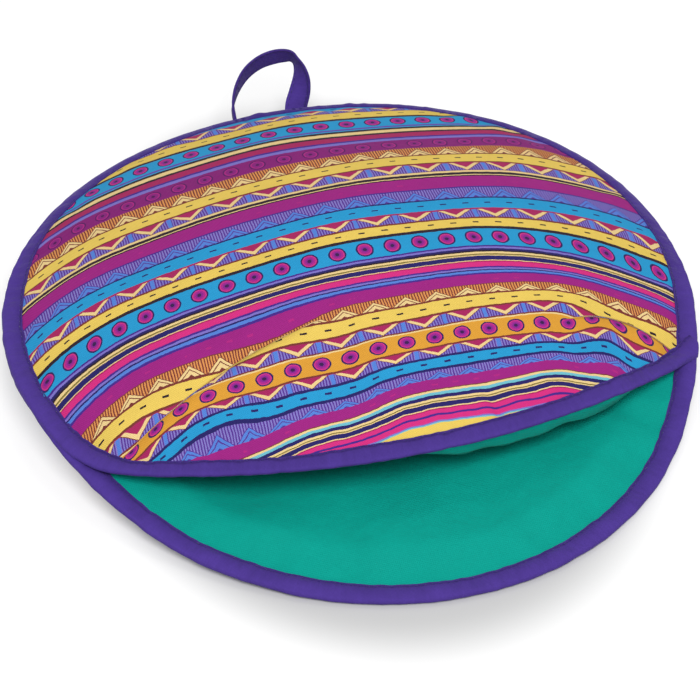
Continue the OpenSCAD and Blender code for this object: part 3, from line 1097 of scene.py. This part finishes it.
def lip_sections():
    path = np.concatenate([TOP_STATIONS[-LEFT_LAP:, :2], TOP_STATIONS[:LIP_SPOKES, :2]])
    ahead = unit(path[-1] - path[-4])
    past = [[path[-1] + ahead * k * LAP_STEP] for k in range(int(RIGHT_LAP / LAP_STEP) + 1)]
    path = np.concatenate([path[:-1]] + past)
    dive = -DIVE * ramp(np.arange(len(path)), DIVE_RUN, 0)
    x = path[:, 0]
    curled = CURLED_UNDER + CURLED_MORE * ramp(x, *CURLED_MORE_RAMP)
    breadth = 1 - curled * ramp(x, *CURL_LEFT_RAMP) * ramp(x, *CURL_RIGHT_RAMP)
    sections = tape_sections(path, TOP_FACE, TOP_UNDER, 31, dive, breadth)
    return over_the_rim(sections)


LAP_RAMP = (62.5, 66.0)            # degrees round the rim
LAP_SLOPE = 2.5          # the tape climbs onto the rim's tape over this width
PAST_RIM = 0.1           # it is folded down from this far beyond the rim
FOLD_OUT = 0.45          # and stands out there by up to this much more
FOLD_DOWN = 0.9          # of each mm beyond


def over_the_rim(sections):
    """Lifts the right end over the rim's tape and folds what stands out beyond it down."""
    made = sections.copy()
    xy = made[..., :2]
    turn = turn_of(xy, ORIGIN)
    away, rim = spoke(xy, ORIGIN), rim_radius(turn)
    on_top = len(TAPE_FACE) + NOSE_STEPS // 2
    over = LAP_RISE * ramp(turn, *LAP_RAMP) * ramp(away - rim + BINDING_W + 1, 0, LAP_SLOPE)
    made[:, :on_top, 2] += over[:, :on_top]
    beyond = np.maximum(0.0, away - rim - PAST_RIM) * (xy[..., 0] > 0)
    pulled = (rim + PAST_RIM + FOLD_OUT * (1 - np.exp(-beyond))) / away
    made[..., :2] *= np.where(beyond > 0, pulled, 1.0)[..., None]
    made[..., 2] -= FOLD_DOWN * beyond
    return made


# The lower lip's tape runs on under the rim's tape by these angles; its left start is sunk
LOWER_LAPS = (14.0, 4.0)
LOWER_SINK, LOWER_SINK_RUN = 0.7, 22.0      # mm, and stations
RIM_RISE = 0.12
RIM_DIVE, RIM_DIVE_RUN = 0.5, 10.0          # mm, and stations


def base_lip_sections():
    turn = np.linspace(-MOUTH_HALF - LOWER_LAPS[0], MOUTH_HALF + LOWER_LAPS[1], 250)
    sink = -LOWER_SINK * ramp(np.arange(len(turn)), LOWER_SINK_RUN, 0)
    sections = tape_sections(base_station(turn)[:, :2], BASE_INNER, BASE_UNDER, 41, sink)
    sections[..., 2] = np.maximum(sections[..., 2], FLAT_ON_TABLE)
    return sections


def rim_sections():
    first = LIP_SPOKES - 1
    path = TOP_STATIONS[first:len(TOP_STATIONS) - RIM_LAP, :2]
    dive = RIM_DIVE * ramp(np.arange(len(path))[::-1], RIM_DIVE_RUN, 0)
    return tape_sections(path, TOP_FACE, BASE_UNDER, 51, RIM_RISE - dive)


# -------------------------------------------------------------------- stitches

STITCH_L = 2.6
STITCH_PITCH = 3.4
STITCH_D = 0.42
STITCH_SIDES = 6
STITCH_LIFT = 0.06       # height of a row's path over the dip in the tape
# Along a stitch: its share of the full thickness, and its height over its path
STITCH_FORM = ((0.35, -0.35), (0.9, 0.05), (1.0, 0.16), (0.9, 0.05), (0.35, -0.35))


def stitch_lines(path):
    """Points along each stitch of a row, at even steps along the path."""
    steps = np.linalg.norm(np.diff(path, axis=0), axis=1)
    run = np.concatenate([[0], np.cumsum(steps)])
    starts = np.arange(STITCH_PITCH * 0.4, run[-1] - STITCH_L, STITCH_PITCH)
    place = [np.stack([np.interp(starts + ahead, run, column) for column in path.T], 1)
             for ahead in np.linspace(0, STITCH_L, len(STITCH_FORM))]
    return np.stack(place, 1)


def make_stitches(name, paths, up):
    """Rows of single stitches; each sinks into the cloth at both of its ends."""
    turns = 2 * math.pi * np.arange(STITCH_SIDES) / STITCH_SIDES
    points, faces = [], []
    for line in np.concatenate([stitch_lines(path) for path in paths]):
        forward = unit(line[-1] - line[0])
        across = unit(np.cross(forward, up))
        rise = np.cross(across, forward)
        ring = (np.outer(np.cos(turns), across) + np.outer(np.sin(turns), rise)) * STITCH_D / 2
        rings = [at + rise * lift + ring * width for at, (width, lift) in zip(line, STITCH_FORM)]
        made, made_faces = strip(rings)
        faces += [tuple(len(points) + i for i in face) for face in made_faces]
        points.extend(made)
    return add_piece(name, points, faces, THREAD)


def stitch_path(sections, top=True):
    """The line along the dip in the tape's outline, on its upper or its lower side."""
    dip = next(i for i, (inset, _) in enumerate(TAPE_FACE) if inset == STITCH_IN)
    path = sections[:, dip if top else -1 - dip].copy()
    path[:, 2] += STITCH_LIFT if top else -STITCH_LIFT
    return path


# ----------------------------------------------------------- the hanging loop

LOOP_W = 10.8
LOOP_T = 1.2
LOOP_AT = 182.0
LOOP_SLOPE = 45.0
LOOP_GAP = 0.3
LOOP_ROOTS = (15.5, -14.6)
# The way of the tape's middle in the loop's own plane, from its right root to its left
# one, and the share of its width that lies in that plane: it is twisted out of the rest
LOOP_COURSE = np.array([
    (15.4, -3.4, 0.99), (16.0, 0.0, 0.99), (17.1, 3.2, 0.98), (19.6, 8.1, 0.90), (21.5, 13.6, 0.66),
    (22.0, 19.2, 0.30), (20.8, 23.8, 0.06), (17.6, 26.4, 0.36), (11.1, 27.2, 0.50), (3.2, 25.9, 0.49),
    (-4.4, 21.9, 0.44), (-10.3, 15.5, 0.32), (-13.8, 8.6, 0.18), (-14.6, 3.0, 0.06), (-14.4, -3.4, 0.02),
])
LOOP_STEPS = 110
LOOP_NEAR = 0.008        # its direction is taken over this share to both sides
LOOP_ROW = (0.72, 0.8)   # its stitches lie at this share of its half width and half thickness


def loop_place(point):
    """From the loop's own plane, behind the rim, to the model's frame."""
    slope, turn = math.radians(LOOP_SLOPE), math.radians(LOOP_AT - 180)
    x, y, z = point
    y, z = y * math.cos(slope) - z * math.sin(slope), y * math.sin(slope) + z * math.cos(slope)
    y += float(rim_radius(LOOP_AT)) + LOOP_GAP + LOOP_T / 2
    z += float(rim_z(LOOP_AT))
    x, y = x * math.cos(turn) - y * math.sin(turn), x * math.sin(turn) + y * math.cos(turn)
    return np.array([x, y, z])


def through(values, share):
    """A smooth curve through values at even steps, at a share of its whole run."""
    at = min(max(share, 0.0), 1.0) * (len(values) - 1)
    k = min(int(at), len(values) - 2)
    t = at - k
    a, b, c, d = (values[min(max(k + i, 0), len(values) - 1)] for i in (-1, 0, 1, 2))
    return b + 0.5 * t * (c - a + t * (2 * a - 5 * b + 4 * c - d + t * (3 * (b - c) + d - a)))


def loop_line(share):
    return np.array([*through(LOOP_COURSE, share)[:2], 0.0])


def loop_frame(share):
    """The tape's middle, the way across it and the way out of its face."""
    step = unit(loop_line(share + LOOP_NEAR) - loop_line(share - LOOP_NEAR))
    flat = np.array([step[1], -step[0], 0.0])
    turn = math.acos(min(1.0, max(0.0, through(LOOP_COURSE, share)[2])))
    across = flat * math.cos(turn) + UP * math.sin(turn)
    face = UP * math.cos(turn) - flat * math.sin(turn)
    return loop_line(share), across, face


def loop_half_width(share):
    """The tape is drawn together where its left end goes into the binding."""
    return LOOP_W * float(mix(1, 0.45, ramp(share, 0.82, 1.0))) / 2


def loop_path(edge, side):
    """A line along the whole tape, at a share of its half width and of its half thickness."""
    path = []
    for share in np.linspace(0, 1, LOOP_STEPS + 1):
        at, across, face = loop_frame(share)
        path.append(loop_place(at + across * edge * loop_half_width(share) + face * side * LOOP_T / 2))
    return np.array(path)


# Half of the loop tape's outline: share of its half width, and of its half thickness
LOOP_OUTLINE = [(1.0, 0.0), (0.985, 0.75), (0.93, 1.0), (0.80, 0.90), (0.72, 0.72), (0.62, 0.95),
                (0.25, 1.0), (-0.25, 1.0), (-0.62, 0.95), (-0.72, 0.72), (-0.80, 0.90), (-0.93, 1.0),
                (-0.985, 0.75)]


def make_loop():
    ring = LOOP_OUTLINE + [(-edge, -side) for edge, side in LOOP_OUTLINE]
    sections = np.stack([loop_path(edge, side) for edge, side in ring], 1)
    points, faces = strip(sections)
    return add_piece("loop_tape", points, faces, TAPE, {"tape": tape_layer(sections)})


def loop_stitch_paths():
    """Rows of stitches along both edges of the tape, on both of its faces."""
    edge, side = LOOP_ROW
    return [loop_path(x * edge, y * side) for x in (-1, 1) for y in (-1, 1)]


TACK_REACH = 2.0         # degrees to both sides of an end of the loop
TACK_COLUMNS = (6, 8)    # points of the tape's outline that they lie on


def tack_paths(rim):
    """Short rows of stitches that hold the loop's two ends in the binding."""
    paths = []
    middle = turn_of(rim[:, TACK_COLUMNS[0] - 1], ORIGIN) % 360
    for root in LOOP_ROOTS:
        at = LOOP_AT - math.degrees(root / float(rim_radius(LOOP_AT)))
        near = np.abs(middle - at) < TACK_REACH
        for column in TACK_COLUMNS:
            path = rim[near, column].copy()
            path[:, 2] += STITCH_LIFT
            paths.append(path)
    return paths


# ------------------------------------------------------- pieces on their bodies

top_cover = make_top_cover()
top_lining = make_top_lining()
top_wadding = make_top_batting()
base_cover = make_base_cover()
base_lining = make_base_lining()
base_wadding = make_base_batting()

lip_tape_outline = lip_sections()
base_tape_outline = base_lip_sections()
rim_tape_outline = rim_sections()
mouth_tape = make_tape("mouth_tape", lip_tape_outline)
base_lip_tape = make_tape("base_lip_tape", base_tape_outline)
rim_tape = make_tape("rim_tape", rim_tape_outline)
mouth_stitches = make_stitches("mouth_stitches", [stitch_path(lip_tape_outline)], UP)
base_lip_stitches = make_stitches("base_lip_stitches", [stitch_path(base_tape_outline)], UP)
rim_stitches = make_stitches("rim_stitches", [stitch_path(rim_tape_outline),
                                              stitch_path(rim_tape_outline, top=False)], UP)
loop_tape = make_loop()
loop_tape_stitches = make_stitches("loop_tape_stitches", loop_stitch_paths(), np.array([0.0, -0.7, 0.7]))
loop_tack_stitches = make_stitches("loop_tack_stitches", tack_paths(rim_tape_outline), UP)

for piece in (top_cover, top_lining, top_wadding, mouth_tape, mouth_stitches):
    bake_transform(piece)
for piece in (base_cover, base_lining, base_wadding, base_lip_tape, base_lip_stitches,
              rim_tape, rim_stitches, loop_tack_stitches):
    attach(piece, "pouch")
# The stretch of the loop just above its roots, behind the binding
ROOT_START = tuple(loop_place((0.0, -0.5, 0.0)) * MM)
ROOT_END = tuple(loop_place((0.0, 7.0, 0.0)) * MM)
for piece in (loop_tape, loop_tape_stitches):
    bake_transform(piece)

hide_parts("top_cover", "lip_cover")
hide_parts("top_lining", "lip_lining")
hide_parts("top_wadding", "lip_wadding")
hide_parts("lip_binding", "mouth_binding_ends")
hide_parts("lip_stitching")
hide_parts("base_cover")
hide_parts("base_lining")
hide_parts("base_wadding")
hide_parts("base_lip_binding")
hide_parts("base_lip_stitching")
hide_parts("rim_binding")
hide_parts("rim_stitching")
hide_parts("hanging_loop")
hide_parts("loop_tacks")


# -------------------------------------------------------- camera, light, floor

CAMERA_TURN = math.radians(-15.228)
CAMERA_RISE = math.radians(44.0)
CAMERA_AWAY = 1.25
CAMERA_AIM = Vector((-0.00208, 0.00251, 0.0))
LENS = 141.69            # with a 36 mm sensor
ROOM_LIGHT = 0.42
# Lamps over the pouch: name, place and size in metres, power in watts
LAMPS = (("key", (-0.2, -1.45, 2.45), 1.5, 55.0), ("back", (0.3, 1.3, 2.5), 0.7, 5.0))


def aim(piece, place, direction):
    piece.location = place
    piece.rotation_mode = "QUATERNION"
    piece.rotation_quaternion = direction.to_track_quat("-Z", "Y")


def make_camera():
    data = bpy.data.cameras.new("camera")
    data.lens = LENS
    data.sensor_width = 36.0
    data.clip_end = 20.0
    camera = in_scene("camera", data)
    back = Vector((math.sin(CAMERA_TURN) * math.cos(CAMERA_RISE),
                   -math.cos(CAMERA_TURN) * math.cos(CAMERA_RISE), math.sin(CAMERA_RISE)))
    aim(camera, CAMERA_AIM + back * CAMERA_AWAY, -back)
    bpy.context.scene.camera = camera


def make_lamp(name, place, size, power):
    data = bpy.data.lights.new(name, "AREA")
    data.shape = "DISK"
    data.size = size
    data.energy = power
    aim(in_scene(name, data), place, -Vector(place))


def seen_by_camera(nodes):
    """1 for what the camera sees, straight, in a reflection or through something clear."""
    path = nodes.node("ShaderNodeLightPath")
    seen = path.outputs["Is Camera Ray"]
    for name in ("Is Glossy Ray", "Is Transmission Ray"):
        seen = nodes.math("MAXIMUM", seen, path.outputs[name])
    return seen


def make_world():
    """A pale room: an even light, white where the camera sees it."""
    world = bpy.data.worlds.new("room")
    nodes = Nodes(world)
    strength = nodes.math("MULTIPLY_ADD", seen_by_camera(nodes), 1 - ROOM_LIGHT, ROOM_LIGHT)
    nodes.fill(nodes.tree.nodes["Background"], {"Color": (1, 1, 1, 1), "Strength": strength})
    bpy.context.scene.world = world


FLOOR_COLOUR = 0.6
FLOOR_HALF = 4.0         # half of its width, in metres
# What the camera sees of the floor is lifted to white in two steps, each with its start and
# its end, in metres from the middle, and how much it adds; sideways it is lifted sooner.
# Close round the pouch it is lifted less and stays grey: a painted shadow.
FLOOR_STEPS = ((0.158, 0.195, 0.46), (0.28, 0.8, 0.6))
FLOOR_SIDEWAYS = 1.35


def lift_leaving_painted_shadow(nodes):
    """How much white is added to what the camera sees of the floor: more, the farther out, so that it
    stays grey close round the pouch as a painted shadow.
    """
    place = nodes.node("ShaderNodeNewGeometry").outputs["Position"]
    wide = nodes.node("ShaderNodeVectorMath", {0: place, 1: (FLOOR_SIDEWAYS, 1.0, 1.0)},
                      operation="MULTIPLY")
    away = nodes.node("ShaderNodeVectorMath", {0: wide.outputs[0]}, operation="LENGTH")
    total = 0.0
    for start, end, amount in FLOOR_STEPS:
        inputs = {"Value": away.outputs["Value"], "From Min": start, "From Max": end, "To Max": amount}
        step = nodes.node("ShaderNodeMapRange", inputs, interpolation_type="SMOOTHSTEP")
        total = nodes.math("ADD", total, step.outputs["Result"])
    return total


def make_floor():
    """A pale table; what the camera sees of it is lifted to white, less its shadows and less close round
    the pouch, where a painted shadow is left.
    """
    mesh = bpy.data.meshes.new("floor")
    corners = [(x * FLOOR_HALF, y * FLOOR_HALF, 0) for x, y in ((-1, -1), (1, -1), (1, 1), (-1, 1))]
    mesh.from_pydata(corners, [], [(0, 1, 2, 3)])
    floor = in_scene("floor", mesh)
    floor.location.z = -0.0001
    paint = bpy.data.materials.new("floor_paint")
    nodes = Nodes(paint)
    lift = nodes.math("MULTIPLY", seen_by_camera(nodes), lift_leaving_painted_shadow(nodes))
    nodes.fill(nodes.tree.nodes["Principled BSDF"], {
        "Base Color": (FLOOR_COLOUR, FLOOR_COLOUR, FLOOR_COLOUR, 1),
        "Roughness": 0.9,
        "Specular IOR Level": 0.0,
        "Emission Color": (1, 1, 1, 1),
        "Emission Strength": lift,
    })
    mesh.materials.append(paint)


bpy.context.scene.view_settings.view_transform = "Standard"
make_camera()
make_world()
for lamp in LAMPS:
    make_lamp(*lamp)
make_floor()
